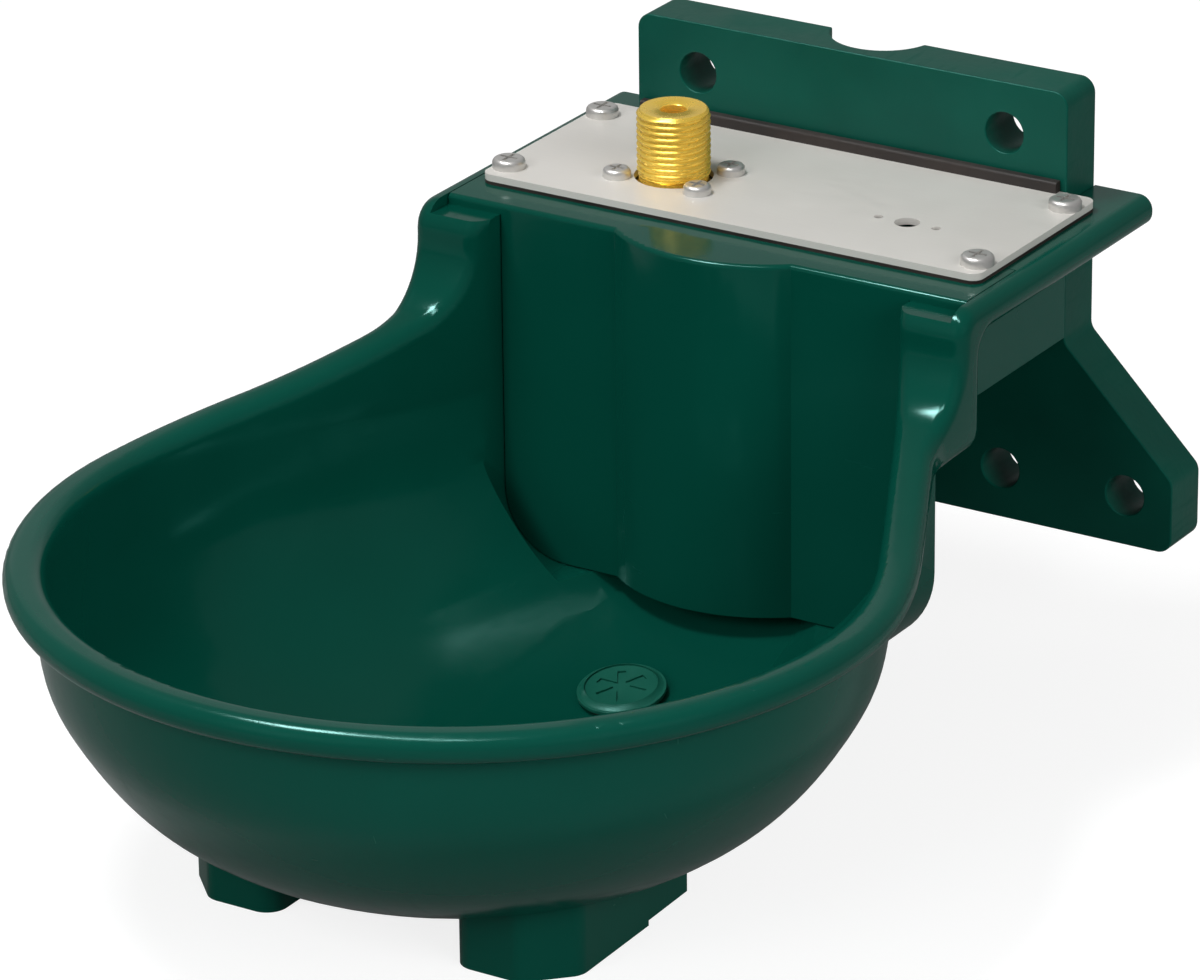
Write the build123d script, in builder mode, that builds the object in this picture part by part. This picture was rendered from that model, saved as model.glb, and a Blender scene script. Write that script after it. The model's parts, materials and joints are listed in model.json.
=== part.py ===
from build123d import *
import os
from math import atan, atan2, cos, pi, radians, sin, sqrt

# Livestock drinking bowl with a float valve. Millimetres, +Z up, the wall behind at +Y.
# Origin: under the middle of the bowl, on the plane that its feet stand on.

# ---- driving dimensions ---------------------------------------------------------------
# bowl
dish_reach = 220.0          # wall face to the vertical axis of the round dish
rim_radius = 121.5          # outer edge of the rim bead round that axis
flank_angle = 25.5          # the flanks close towards the wall at this angle
rim_level = 93.8            # top of the rim at the front
bead_height = 8.6
bead_width = 11.5
bead_round = 4.2            # outer edges of the bead, pillars and side flanges
bead_inner_round = 5.0
skin = 3.4                  # wall of the moulding
belly_base = 6.3            # underside of the dish above the feet
belly_side_power = 2.37     # fullness of the belly's profile
belly_base_power = 2.25
ramp_setback = 38.0         # behind the dish axis the underside climbs straight to the bracket's lower edge

# rise of the rim up to the pillars
rise_setback = 5.0          # the rim starts to climb this far behind the dish axis
bend_rise = 34.4            # rim to the middle of the tight bend below the pillars
pillar_bend = 20.0
pillar_ahead = 10.6         # pillars stand ahead of the front cover's face
pillar_depth = 11.0
lip_half_width = 88.5       # outer edge of pillars and side flanges
lip_blend = 30.0            # plan blend from the flanks into the pillars
lip_corner = 8.0
underside_angle = 12.5      # steepest slope of the lip's underside
heel_ahead = 9.0            # the underside is level again this far ahead of the pillars' backs
heel_round = 6.0
flange_thickness = 9.0
flange_width = 18.5         # the side flanges stand out this far from the housing

# housing behind the dish
deck_rise = 44.2            # rim to the top of the side flanges, under the gasket
housing_height = 40.5
rear_wall = 4.0
side_wall = 4.0

# feet
foot_inner = 28.0
foot_outer = 61.0
foot_ahead = 52.0           # in front of the dish axis
foot_behind = 17.0
foot_height = 27.0          # their tops end inside the belly's wall
foot_corner = 12.0
foot_groove = 1.6
foot_groove_ahead = 6.0
foot_taper = 0.5

# wall bracket
bracket_thickness = 16.5
bracket_rise = 32.0         # above the side flanges
shoulder_level = 95.8
wing_width = 35.0
wing_level = 60.4
bracket_base = 38.5
bracket_corner = 4.5
wall_hole_radius = 6.0
hole_inset = 15.0           # holes to the top, bottom and wing edges
inner_hole_inset = 20.0     # inner holes to the bracket's upright sides
pipe_channel_half_width = 15.0
pipe_channel_depth = 12.0
bracket_gap = 0.3           # between the bracket's sides and the flanges beside it

# cover plate and its seals
plate_inset = 8.5           # the flanges show this much beside the plate
plate_setback = 12.0        # front edge behind the front cover's face
plate_thickness = 2.0
plate_corner = 3.5
plate_gap = 0.3             # between the plate and the bracket
gasket_thickness = 1.0
gasket_side = 13.0
gasket_front = 11.0
seal_strip_width = 2.6
seal_strip_height = 3.2
seal_strip_inset = 2.0
port_x = 43.4               # spare port in the plate, between a pair of small holes
port_radius = 3.6
port_pin_radius = 1.35
port_pin_offset = 9.15

# front cover
cover_face = 97.4
cover_thickness = 3.0
cover_base = 33.0
cover_corner = 20.0
cover_gap = 0.5
cover_lip_thickness = 3.0
cover_lip_margin = 7.5      # runs on past its screws, to the sides and to the back
cover_lip_gap = 0.4
cover_lip_round = 1.4
bulge_half_width = 28.5
bulge_depth = 10.0

# float valve
valve_x = -32.0
valve_reach = 59.4
thread_radius = 10.478      # G 1/2
stub_height = 20.0
thread_chamfer = 1.0
relief_depth = 0.6          # plain neck where the thread ends above the plate
relief_height = 0.5
inlet_radius = 3.75
plate_hole_gap = 0.8
valve_flange_length = 37.0
valve_flange_width = 28.0
valve_flange_thickness = 5.0
valve_flange_corner = 3.0
valve_flange_gap = 0.6
barrel_radius = 10.4
barrel_length = 24.0
piston_bore_radius = 6.0
piston_length = 11.0
piston_travel = 3.0
running_gap = 0.05
washer_radius = 4.6
washer_thickness = 2.5
washer_recess = 1.5
seat_height = 2.0           # the nozzle stands this far into the chamber over the piston
nozzle_length = 8.0
orifice_radius = 1.5
outlet_radius = 3.0
pivot_offset = 12.0         # pivot to piston axis
pivot_drop = 30.2           # below the side flanges' top
pin_radius = 2.0
ear_gap = 9.0               # clear width between the fork's ears
ear_thickness = 2.5
ear_radius = 5.0
ear_drop = 19.0
ear_overlap = 1.0           # the fork reaches this far past the edge of the piston's bore
clip_radius = 4.0
clip_thickness = 0.8

# float and its arm
float_drop = 14.0           # the arm hangs this far below level when the bowl is empty
arm_length = 52.0
arm_width = 8.0
arm_thickness = 3.0
arm_end = 7.0               # the arm runs on past the float's stud
arm_eye_radius = 4.5
level_screw_radius = 2.0
level_screw_rise = 6.0      # tip above the arm's middle line
level_nut_height = 2.2
level_nut_flats = 7.0
tip_gap = 0.3
float_length = 36.0
float_width = 36.0
float_height = 24.0
float_round = 5.0
float_neck = 11.5           # arm to the float's top
float_neck_radius = 6.0
stud_radius = 2.5
stud_depth = 9.0
float_nut_height = 4.0
float_nut_flats = 8.0

# drain plug
drain_setback = 79.0        # behind the dish axis
drain_shank_radius = 8.0
drain_shank_below = 2.0
drain_head_radius = 12.5
drain_head_height = 2.4
drain_ring_width = 2.2
drain_grip_length = 15.0
drain_grip_width = 2.4
drain_recess = 1.1
drain_seal_radius = 11.5
drain_seal_thickness = 1.2
drain_gap = 0.3

# screws
cover_screw_side_inset = 4.5
cover_screw_front_inset = 8.0
cover_screw_back_inset = 10.6
cover_screw_radius = 2.5
cover_screw_head_radius = 4.75
cover_screw_head_height = 3.0
cover_screw_length = 9.5
insert_radius = 3.6
insert_length = 5.5
insert_fit = 0.02
insert_gap = 1.2            # the screw's hole runs on below the insert
valve_screw_dx = 13.2
valve_screw_dy = 9.2
valve_screw_radius = 2.0
valve_screw_head_radius = 4.0
valve_screw_head_height = 2.8
valve_screw_length = 7.5
bracket_screw_inset = 11.0  # upper pair to the chamber's sides
bracket_screw_drop = 20.0
bracket_screw_head_gap = 2.2    # lower pair to the tail's sides
bracket_screw_lower_level = 80.0
bracket_screw_radius = 3.0
bracket_screw_head_radius = 4.5
bracket_screw_head_height = 3.5
bracket_screw_grip = 12.0   # thread inside the bracket
screw_gap = 0.3
slot_width = 1.0
slot_depth = 1.2

# ---- derived places -------------------------------------------------------------------
wall_y = (dish_reach + rim_radius) / 2
flank = radians(flank_angle)
belly_radius = rim_radius - bead_width + skin
belly_rim = rim_level - bead_height
rise_start = dish_reach - rise_setback
ramp_reach = dish_reach - ramp_setback
drain_reach = dish_reach - drain_setback
foot_front = dish_reach + foot_ahead
foot_back = dish_reach - foot_behind
foot_groove_reach = dish_reach + foot_groove_ahead

pillar_front = cover_face + pillar_ahead
pillar_back = pillar_front - pillar_depth
heel_reach = pillar_back + heel_ahead
deck_level = rim_level + deck_rise
lip_seat = deck_level - cover_lip_thickness
gasket_top = deck_level + gasket_thickness
plate_top = gasket_top + plate_thickness
above_all = plate_top + stub_height

housing_half_width = lip_half_width - flange_width
housing_base = deck_level - housing_height
housing_back = bracket_thickness
chamber_half_width = housing_half_width - side_wall
chamber_back = housing_back + rear_wall
tail_half_width = (belly_radius - skin - (dish_reach - chamber_back) * sin(flank)) / cos(flank)

bracket_half_width = housing_half_width
wing_half_width = bracket_half_width + wing_width
bracket_top = deck_level + bracket_rise
inner_hole_x = bracket_half_width - inner_hole_inset
outer_hole_x = wing_half_width - hole_inset
upper_hole_level = bracket_top - hole_inset
lower_hole_level = bracket_base + hole_inset

plate_half_width = lip_half_width - plate_inset
plate_front = cover_face - plate_setback
plate_back = bracket_thickness + plate_gap
seal_strip_half_length = bracket_half_width - seal_strip_inset
cover_screw_x = plate_half_width - cover_screw_side_inset
cover_screw_front = plate_front - cover_screw_front_inset
cover_screw_back = plate_back + cover_screw_back_inset
cover_half_width = chamber_half_width - cover_gap
cover_lip_half_width = cover_screw_x + cover_lip_margin
cover_lip_back = cover_screw_front - cover_lip_margin
slot_back = cover_face - cover_thickness - cover_gap
bracket_screw_upper_x = chamber_half_width - bracket_screw_inset
bracket_screw_upper_level = deck_level - bracket_screw_drop
bracket_screw_lower_x = tail_half_width - bracket_screw_head_radius - bracket_screw_head_gap

# from the lever's pivot up to the seat that the piston's washer closes
valve_y = wall_y - valve_reach
barrel_base = deck_level - barrel_length
ear_top = deck_level - ear_drop
pivot_x = valve_x - pivot_offset
pivot_level = deck_level - pivot_drop
drop = radians(float_drop)
tip_level = pivot_level - pivot_offset * sin(drop) + level_screw_rise * cos(drop)
piston_base = tip_level + tip_gap
washer_base = piston_base + piston_length - washer_recess
seat_level = washer_base + washer_thickness + piston_travel + running_gap
chamber_roof = seat_level + seat_height
outlet_level = washer_base + washer_thickness + outlet_radius / 2
ear_front = valve_x - piston_bore_radius + ear_overlap
arm_side = Plane(origin=(pivot_x, valve_y, pivot_level), x_dir=(cos(drop), 0, -sin(drop)), z_dir=(0, -1, 0))
arm_top = Plane(origin=(pivot_x, valve_y, pivot_level), x_dir=(cos(drop), 0, -sin(drop)),
                z_dir=(sin(drop), 0, cos(drop)))


def out(distance):
    """Y of a point that lies this far out from the wall."""
    return wall_y - distance


def facing(distance):
    """Plane parallel to the wall and this far out from it; its normal points away from the wall."""
    return Plane.XZ.offset(-out(distance))


def block(half_width, near, far, low, high, mode=Mode.ADD):
    """Square block across the middle, between two distances from the wall and two levels."""
    with Locations((0, out(far), low)):
        Box(2 * half_width, far - near, high - low, align=(Align.CENTER, Align.MIN, Align.MIN), mode=mode)


def profile_level(share, radius, base):
    """Level at which the belly's round profile has shrunk to this share of its rim radius."""
    return belly_rim - (belly_rim - base) * (1 - share**belly_side_power) ** (1 / belly_base_power)


def bowl_outline(radius, rear):
    """Plan of the bowl: an arc round the dish axis and two tangent flanks that close towards the wall."""
    half = (radius - (dish_reach - rear) * sin(flank)) / cos(flank)
    touch_x = radius * cos(flank)
    touch_y = out(dish_reach - radius * sin(flank))
    with BuildSketch() as outline:
        with BuildLine():
            Line((half, out(rear)), (touch_x, touch_y))
            ThreePointArc((touch_x, touch_y), (0, out(dish_reach + radius)), (-touch_x, touch_y))
            Line((-touch_x, touch_y), (-half, out(rear)))
            Line((-half, out(rear)), (half, out(rear)))
        make_face()
    return outline.sketch


def belly_solid(inset):
    """Round bottom turned about the dish axis and run on to the wall along two straight closing flanks."""
    radius = belly_radius - inset
    base = belly_base + inset
    tail = dish_reach / cos(flank)
    curve = [(share * radius, profile_level(share, radius, base)) for share in (0, 0.25, 0.45, 0.65, 0.82, 0.94, 1)]
    across_flank = Plane(origin=(0, out(dish_reach), 0), x_dir=(cos(flank), sin(flank), 0),
                         z_dir=(sin(flank), -cos(flank), 0))
    with BuildSketch(across_flank) as section:
        with BuildLine():
            Spline(*curve, tangents=((1, 0), (0, 1)))
            Polyline((radius, belly_rim), (radius, above_all), (0, above_all), (0, base))
        make_face()
    with BuildPart() as half_tail:
        extrude(section.sketch, amount=-tail)
        split(bisect_by=Plane.YZ)
    with BuildPart() as belly:
        revolve(section.sketch, axis=Axis((0, out(dish_reach), 0), (0, 0, 1)),
                revolution_arc=-180 - 2 * flank_angle)
        add(half_tail.part)
        mirror(half_tail.part, about=Plane.YZ)
    return belly.part


# the straight ramp under the bowl's tail
ramp_low = profile_level((dish_reach - ramp_reach) / belly_radius, belly_radius, belly_base)
ramp_climb = (bracket_base - ramp_low) / (ramp_reach - housing_back)
ramp_slope = atan(ramp_climb)
ramp_skin = skin / cos(ramp_slope)


def ramp_level(distance):
    return bracket_base - (distance - housing_back) * ramp_climb


def under_ramp(rise):
    """Side view of everything under the ramp's plane, raised by an upright amount."""
    far = ramp_reach + (ramp_low + ramp_skin) / ramp_climb + foot_height / ramp_climb
    with BuildSketch() as shadow:
        Polygon((out(0), ramp_level(0) + rise), (out(far), ramp_level(far) + rise),
                (out(far), ramp_level(far) - foot_height), (out(0), ramp_level(far) - foot_height), align=None)
    return shadow.sketch


# side view of the lip's top edge: a long rising arc, then a tight one up to the pillar
bend_reach = pillar_front + pillar_bend
bend_level = rim_level + bend_rise
climb_run = rise_start - bend_reach
rise_radius = (climb_run**2 + bend_rise**2 - pillar_bend**2) / (2 * (bend_rise - pillar_bend))
rise_centre = rim_level + rise_radius
rise_slope = atan2(climb_run, rise_centre - bend_level)
bend_middle = (rise_slope + pi / 2) / 2


def rise_point(drop, angle):
    """Point on the long arc, this far under the top edge; the angle runs from the front."""
    radius = rise_radius + drop
    return (out(rise_start - radius * sin(angle)), rise_centre - radius * cos(angle))


def bend_point(drop, angle):
    radius = pillar_bend + drop
    return (out(bend_reach - radius * sin(angle)), bend_level - radius * cos(angle))


# the lip's underside levels out again below the pillars
underside = radians(underside_angle)
heel_start = rise_start - (rise_radius + bead_height) * sin(underside)
heel_radius = (heel_start - heel_reach) / sin(underside)
heel_centre = rise_centre - (rise_radius + bead_height + heel_radius) * cos(underside)


def heel_point(angle):
    return (out(heel_reach + heel_radius * sin(angle)), heel_centre + heel_radius * cos(angle))


def cover_outline(grow):
    """Front view of the front cover, grown on its sides and bottom; open-ended above the deck."""
    half = cover_half_width + grow
    base = cover_base - grow
    corner = cover_corner + grow
    with BuildSketch() as outline:
        with BuildLine():
            FilletPolyline((half, above_all), (half, base), (-half, base), (-half, above_all), radius=corner)
            Line((-half, above_all), (half, above_all))
        make_face()
    return outline.sketch


def front_profile(inset):
    """Plan of everything behind the front cover's face, bulge and all, set back by an inset."""
    half = bulge_half_width - inset / 2
    with BuildSketch() as profile:
        with BuildLine():
            Line((-lip_half_width, out(cover_face - inset)), (-half, out(cover_face - inset)))
            ThreePointArc((-half, out(cover_face - inset)), (0, out(cover_face + bulge_depth - inset)),
                          (half, out(cover_face - inset)))
            Polyline((half, out(cover_face - inset)), (lip_half_width, out(cover_face - inset)),
                     (lip_half_width, out(cover_lip_back)), (-lip_half_width, out(cover_lip_back)),
                     (-lip_half_width, out(cover_face - inset)))
        make_face()
    return profile.sketch


def beside(edge, outline):
    """True for an edge that runs along this plan outline, level or climbing but not upright."""
    middle = edge @ 0.5
    flat_gap = outline.distance_to(Vertex(middle.X, middle.Y, outline.center().Z))
    return flat_gap < 0.05 and abs((edge % 0.5).Z) < 0.99 and middle.Y < out(0) - 0.1


def tops_rim(edge):
    """True for an edge in front of the deck whose middle lies on the lip's top line."""
    middle = edge @ 0.5
    reach = wall_y - middle.Y
    if reach > rise_start:
        top = rim_level
    elif reach > bend_reach - pillar_bend * sin(rise_slope):
        top = rise_centre - sqrt(rise_radius**2 - (rise_start - reach) ** 2)
    else:
        top = bend_level - sqrt(max(0, pillar_bend**2 - (bend_reach - reach) ** 2))
    return abs(middle.Z - top) < 0.3


floor_level = ramp_level(drain_reach) + ramp_skin
drain_plane = Plane(origin=(0, out(drain_reach), floor_level), x_dir=(1, 0, 0),
                    z_dir=(0, -sin(ramp_slope), cos(ramp_slope)))
wall_hole_places = [(side * x, level) for side in (-1, 1)
                    for x, level in ((inner_hole_x, upper_hole_level), (inner_hole_x, lower_hole_level),
                                     (outer_hole_x, lower_hole_level))]
front_screw_places = [(x, out(cover_screw_front)) for x in (-cover_screw_x, cover_screw_x)]
back_screw_places = [(x, out(cover_screw_back)) for x in (-cover_screw_x, cover_screw_x)]
cover_screw_places = front_screw_places + back_screw_places
valve_screw_places = [(valve_x + x, valve_y + y) for x in (-valve_screw_dx, valve_screw_dx)
                      for y in (-valve_screw_dy, valve_screw_dy)]
bracket_screw_places = [(side * x, level) for side in (-1, 1)
                        for x, level in ((bracket_screw_upper_x, bracket_screw_upper_level),
                                         (bracket_screw_lower_x, bracket_screw_lower_level))]

# ---- bowl body ------------------------------------------------------------------------
# rolled lip: bead round the dish, pillars and side flanges in one band
dish_opening = bowl_outline(rim_radius - bead_width, -skin)
dish_outline = dish_opening.face().outer_wire()
with BuildPart() as lip:
    with BuildSketch(Plane.YZ):
        with BuildLine():
            tip = out(dish_reach + rim_radius + skin)
            front_top = rise_point(0, 0)
            front_low = rise_point(bead_height, 0)
            Line((tip, front_top[1]), front_top)
            ThreePointArc(front_top, rise_point(0, rise_slope / 2), rise_point(0, rise_slope))
            ThreePointArc(rise_point(0, rise_slope), bend_point(0, bend_middle), bend_point(0, pi / 2))
            FilletPolyline(bend_point(0, pi / 2), (out(pillar_front), deck_level), (out(0), deck_level),
                           radius=min(lip_corner, 0.9 * (deck_level - bend_level)))
            Line((out(0), deck_level), (out(0), deck_level - flange_thickness))
            FilletPolyline((out(0), deck_level - flange_thickness),
                           (out(pillar_back), deck_level - flange_thickness),
                           (out(pillar_back), heel_point(0)[1]), heel_point(0), radius=heel_round)
            ThreePointArc(heel_point(0), heel_point(underside / 2), heel_point(underside))
            ThreePointArc(heel_point(underside), rise_point(bead_height, underside / 2), front_low)
            Polyline(front_low, (tip, front_low[1]), (tip, front_top[1]))
        make_face()
    extrude(amount=rim_radius + skin, both=True)
    flank_meet = dish_reach - (rim_radius - lip_half_width * cos(flank)) / sin(flank)
    with BuildSketch(Plane.XY.offset(rim_level - 2 * bead_height)) as lip_plan:
        add(bowl_outline(rim_radius, 0))
        with Locations((0, out(flank_meet / 2))):
            Rectangle(2 * lip_half_width, flank_meet)
        blend = lip_plan.vertices().filter_by(lambda v: abs(v.Y - out(flank_meet)) < 0.5)
        fillet(blend, lip_blend)
        outer_outline = lip_plan.sketch.face().outer_wire()
        add(dish_opening, mode=Mode.SUBTRACT)
    extrude(amount=above_all, mode=Mode.INTERSECT)
    block(bracket_half_width + bracket_gap, 0, housing_back, 0, above_all, mode=Mode.SUBTRACT)
    outer_edges = lip.edges().filter_by(lambda edge: beside(edge, outer_outline))
    inner_edges = lip.edges().filter_by(lambda edge: beside(edge, dish_outline) and tops_rim(edge))
    fillet(outer_edges, bead_round)
    fillet(inner_edges, bead_inner_round)
    block(chamber_half_width, 0, pillar_front, 0, above_all, mode=Mode.SUBTRACT)

# everything hollow: dish, tail, float chamber and the slot of the front cover
with BuildPart() as cavity:
    add(belly_solid(skin))
    with BuildSketch(Plane.YZ):
        add(under_ramp(ramp_skin))
    extrude(amount=rim_radius, both=True, mode=Mode.SUBTRACT)
    block(rim_radius, -rim_radius, chamber_back, 0, above_all, mode=Mode.SUBTRACT)
    block(chamber_half_width, chamber_back, slot_back + skin, housing_base + skin, above_all)
    with BuildSketch(facing(slot_back)):
        add(cover_outline(cover_gap))
    extrude(amount=pillar_front - slot_back)
    block(cover_lip_half_width + cover_lip_gap, cover_lip_back - cover_lip_gap, pillar_front, lip_seat, above_all)

with BuildPart() as bowl_body:
    add(belly_solid(0))
    # the wall stops under the bead's top
    with BuildSketch(Plane.YZ):
        with BuildLine():
            trim = bead_height - 1
            tip = out(dish_reach + rim_radius)
            Line((tip, rise_point(trim, 0)[1]), rise_point(trim, 0))
            ThreePointArc(rise_point(trim, 0), rise_point(trim, rise_slope / 2), rise_point(trim, rise_slope))
            ThreePointArc(rise_point(trim, rise_slope), bend_point(trim, bend_middle), bend_point(trim, pi / 2))
            Polyline(bend_point(trim, pi / 2), (bend_point(trim, pi / 2)[0], above_all), (tip, above_all),
                     (tip, rise_point(trim, 0)[1]))
        make_face()
    extrude(amount=rim_radius, both=True, mode=Mode.SUBTRACT)
    with BuildSketch(Plane.YZ):
        add(under_ramp(0))
    extrude(amount=rim_radius, both=True, mode=Mode.SUBTRACT)
    # housing, and the ribs that hold the front cover
    block(housing_half_width, housing_back, pillar_back + 1, housing_base, deck_level)
    with BuildSketch(facing(slot_back - side_wall)):
        add(cover_outline(cover_gap + side_wall))
        with Locations((0, housing_base + 1)):
            Rectangle(4 * rim_radius, 2 * rim_radius, align=(Align.CENTER, Align.MAX), mode=Mode.INTERSECT)
    extrude(amount=pillar_front - slot_back + 2 * side_wall)
    add(lip.part)
    # feet
    with BuildSketch():
        with BuildLine():
            Polyline((foot_inner, out(foot_front)), (foot_outer - foot_corner, out(foot_front)),
                     (foot_outer, out(foot_front - foot_corner)),
                     (foot_outer - foot_taper, out(foot_groove_reach)),
                     (foot_outer - foot_taper - foot_groove, out(foot_groove_reach - foot_groove)),
                     (foot_outer - 2 * foot_taper - foot_groove, out(foot_back)), (foot_inner, out(foot_back)),
                     (foot_inner, out(foot_front)))
        make_face()
        mirror(about=Plane.YZ)
    extrude(amount=foot_height)
    upright = bowl_body.edges().filter_by(Axis.Z).filter_by(lambda edge: abs((edge @ 0.5).Z) < foot_height)
    fillet(upright.filter_by(lambda edge: (edge @ 0.5).Y < out(foot_front - foot_corner) + 1), foot_corner / 2)
    # level top, room for the bracket, then the hollow
    block(rim_radius, -dish_reach, pillar_front, deck_level, above_all + stub_height, mode=Mode.SUBTRACT)
    block(bracket_half_width + bracket_gap, -rim_radius, housing_back, -foot_height, above_all, mode=Mode.SUBTRACT)
    add(cavity.part, mode=Mode.SUBTRACT)
    # holes
    for places, seat in ((front_screw_places, lip_seat), (back_screw_places, deck_level)):
        with Locations(*[(x, y, seat) for x, y in places]):
            Hole(insert_radius, insert_length)
            Hole(cover_screw_radius + screw_gap, insert_length + insert_gap)
    with BuildSketch(facing(housing_back)):
        with Locations(*bracket_screw_places):
            Circle(bracket_screw_radius + screw_gap)
    extrude(amount=rear_wall, mode=Mode.SUBTRACT)
    with BuildSketch(drain_plane):
        Circle(drain_shank_radius + drain_gap)
    extrude(amount=2 * ramp_skin, both=True, mode=Mode.SUBTRACT)
bowl_body.part.label = "bowl_body"
export_step(bowl_body.part, "parts/bowl_body.step")

# ---- wall bracket ---------------------------------------------------------------------
with BuildPart() as wall_bracket:
    with BuildSketch(facing(0)):
        with BuildLine():
            Polyline((0, bracket_base), (wing_half_width, bracket_base), (wing_half_width, wing_level),
                     (bracket_half_width, shoulder_level), (bracket_half_width, bracket_top), (0, bracket_top))
            mirror(about=Plane.YZ)
        make_face()
    extrude(amount=bracket_thickness)
    fillet(wall_bracket.edges().filter_by(Axis.Y), bracket_corner)
    with BuildSketch(facing(0)):
        with Locations(*wall_hole_places):
            Circle(wall_hole_radius)
    extrude(amount=bracket_thickness, mode=Mode.SUBTRACT)
    # round-bottomed channel for the supply pipe, open at top and bottom
    with BuildSketch(Plane.XY.offset(bracket_base)):
        with BuildLine():
            rim_y = out(0)
            Line((-pipe_channel_half_width, rim_y), (pipe_channel_half_width, rim_y))
            ThreePointArc((pipe_channel_half_width, rim_y), (0, out(pipe_channel_depth)),
                          (-pipe_channel_half_width, rim_y))
        make_face()
    extrude(amount=bracket_top - bracket_base, mode=Mode.SUBTRACT)
    with BuildSketch(facing(bracket_thickness)):
        with Locations(*bracket_screw_places):
            Circle(bracket_screw_radius + running_gap)
    extrude(amount=-bracket_screw_grip - screw_gap, mode=Mode.SUBTRACT)
wall_bracket.part.label = "wall_bracket"
export_step(wall_bracket.part, "parts/wall_bracket.step")

# ---- front cover ----------------------------------------------------------------------
with BuildPart() as front_cover:
    with BuildSketch(Plane.XY.offset(cover_base)):
        add(front_profile(0))
        add(front_profile(cover_thickness), mode=Mode.SUBTRACT)
    extrude(amount=deck_level - cover_base)
    with BuildSketch(facing(cover_lip_back)):
        add(cover_outline(0))
    extrude(amount=pillar_front - cover_lip_back, mode=Mode.INTERSECT)
    with BuildSketch(Plane.XY.offset(lip_seat)):
        add(front_profile(0))
        with Locations((0, out(cover_lip_back))):
            Rectangle(2 * cover_lip_half_width, 4 * bulge_depth + cover_face, mode=Mode.INTERSECT)
        # room for the valve's flange under the plate
        with Locations((valve_x, valve_y)):
            Rectangle(valve_flange_length + 2 * valve_flange_gap, valve_flange_width + 2 * valve_flange_gap,
                      mode=Mode.SUBTRACT)
    extrude(amount=cover_lip_thickness)
    front_edges = front_cover.faces().sort_by(Axis.Z)[-1].edges().filter_by(
        lambda edge: (edge @ 0.5).Y < out(cover_face) + 0.1)
    fillet(front_edges, cover_lip_round)
    with Locations(*[(x, y, deck_level) for x, y in front_screw_places]):
        Hole(cover_screw_radius + screw_gap, cover_lip_thickness)
front_cover.part.label = "front_cover"
export_step(front_cover.part, "parts/front_cover.step")

# ---- cover plate and seals ------------------------------------------------------------
plate_length = plate_front - plate_back
plate_middle = out((plate_front + plate_back) / 2)
with BuildPart() as cover_plate:
    with BuildSketch(Plane.XY.offset(gasket_top)):
        with Locations((0, plate_middle)):
            RectangleRounded(2 * plate_half_width, plate_length, plate_corner)
        with Locations(*cover_screw_places):
            Circle(cover_screw_radius + screw_gap, mode=Mode.SUBTRACT)
        with Locations((valve_x, valve_y)):
            Circle(thread_radius + plate_hole_gap, mode=Mode.SUBTRACT)
        with Locations(*valve_screw_places):
            Circle(valve_screw_radius + screw_gap, mode=Mode.SUBTRACT)
        with Locations((port_x, valve_y)):
            Circle(port_radius, mode=Mode.SUBTRACT)
        with Locations((port_x - port_pin_offset, valve_y), (port_x + port_pin_offset, valve_y)):
            Circle(port_pin_radius, mode=Mode.SUBTRACT)
    extrude(amount=plate_thickness)
cover_plate.part.label = "cover_plate"
export_step(cover_plate.part, "parts/cover_plate.step")

with BuildPart() as cover_gasket:
    with BuildSketch(Plane.XY.offset(deck_level)):
        with Locations((0, plate_middle)):
            RectangleRounded(2 * plate_half_width, plate_length, plate_corner)
        opening = plate_length - gasket_front - (chamber_back - plate_back)
        with Locations((0, out(plate_front - gasket_front) + opening / 2)):
            Rectangle(2 * (plate_half_width - gasket_side), opening, mode=Mode.SUBTRACT)
        with Locations(*cover_screw_places):
            Circle(cover_screw_radius + screw_gap, mode=Mode.SUBTRACT)
    extrude(amount=gasket_thickness)
cover_gasket.part.label = "cover_gasket"
export_step(cover_gasket.part, "parts/cover_gasket.step")

with BuildPart() as rear_seal_strip:
    block(seal_strip_half_length, bracket_thickness, bracket_thickness + seal_strip_width, plate_top,
          plate_top + seal_strip_height)
    fillet(rear_seal_strip.edges().filter_by(Axis.X).sort_by(Axis.Z)[-2:].sort_by(Axis.Y)[0], seal_strip_width / 3)
rear_seal_strip.part.label = "rear_seal_strip"
export_step(rear_seal_strip.part, "parts/rear_seal_strip.step")

with BuildPart() as valve_gasket:
    with BuildSketch(Plane.XY.offset(deck_level)):
        with Locations((valve_x, valve_y)):
            RectangleRounded(valve_flange_length, valve_flange_width, valve_flange_corner)
            Circle(thread_radius + plate_hole_gap, mode=Mode.SUBTRACT)
        with Locations(*valve_screw_places):
            Circle(valve_screw_radius + screw_gap, mode=Mode.SUBTRACT)
    extrude(amount=gasket_thickness)
valve_gasket.part.label = "valve_gasket"
export_step(valve_gasket.part, "parts/valve_gasket.step")


def pan_screw(head_radius, head_height, shank_radius, length):
    """Pan-head screw with a cross recess, head underside on the plane of the current location."""
    with BuildPart() as screw:
        Cylinder(head_radius, head_height, align=(Align.CENTER, Align.CENTER, Align.MIN))
        fillet(screw.edges().sort_by(Axis.Z)[-1], head_height / 2)
        Cylinder(shank_radius, length, align=(Align.CENTER, Align.CENTER, Align.MAX))
        chamfer(screw.edges().sort_by(Axis.Z)[0], shank_radius / 4)
        with Locations((0, 0, head_height)):
            Box(1.2 * head_radius, slot_width, 2 * slot_depth, mode=Mode.SUBTRACT)
            Box(slot_width, 1.2 * head_radius, 2 * slot_depth, mode=Mode.SUBTRACT)
    return screw.part


# ---- screws in the plate and their inserts --------------------------------------------
with BuildPart() as cover_screws:
    with Locations(*[(x, y, plate_top) for x, y in cover_screw_places]):
        add(pan_screw(cover_screw_head_radius, cover_screw_head_height, cover_screw_radius, cover_screw_length))
cover_screws.part.label = "cover_screws"
export_step(cover_screws.part, "parts/cover_screws.step")

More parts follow.
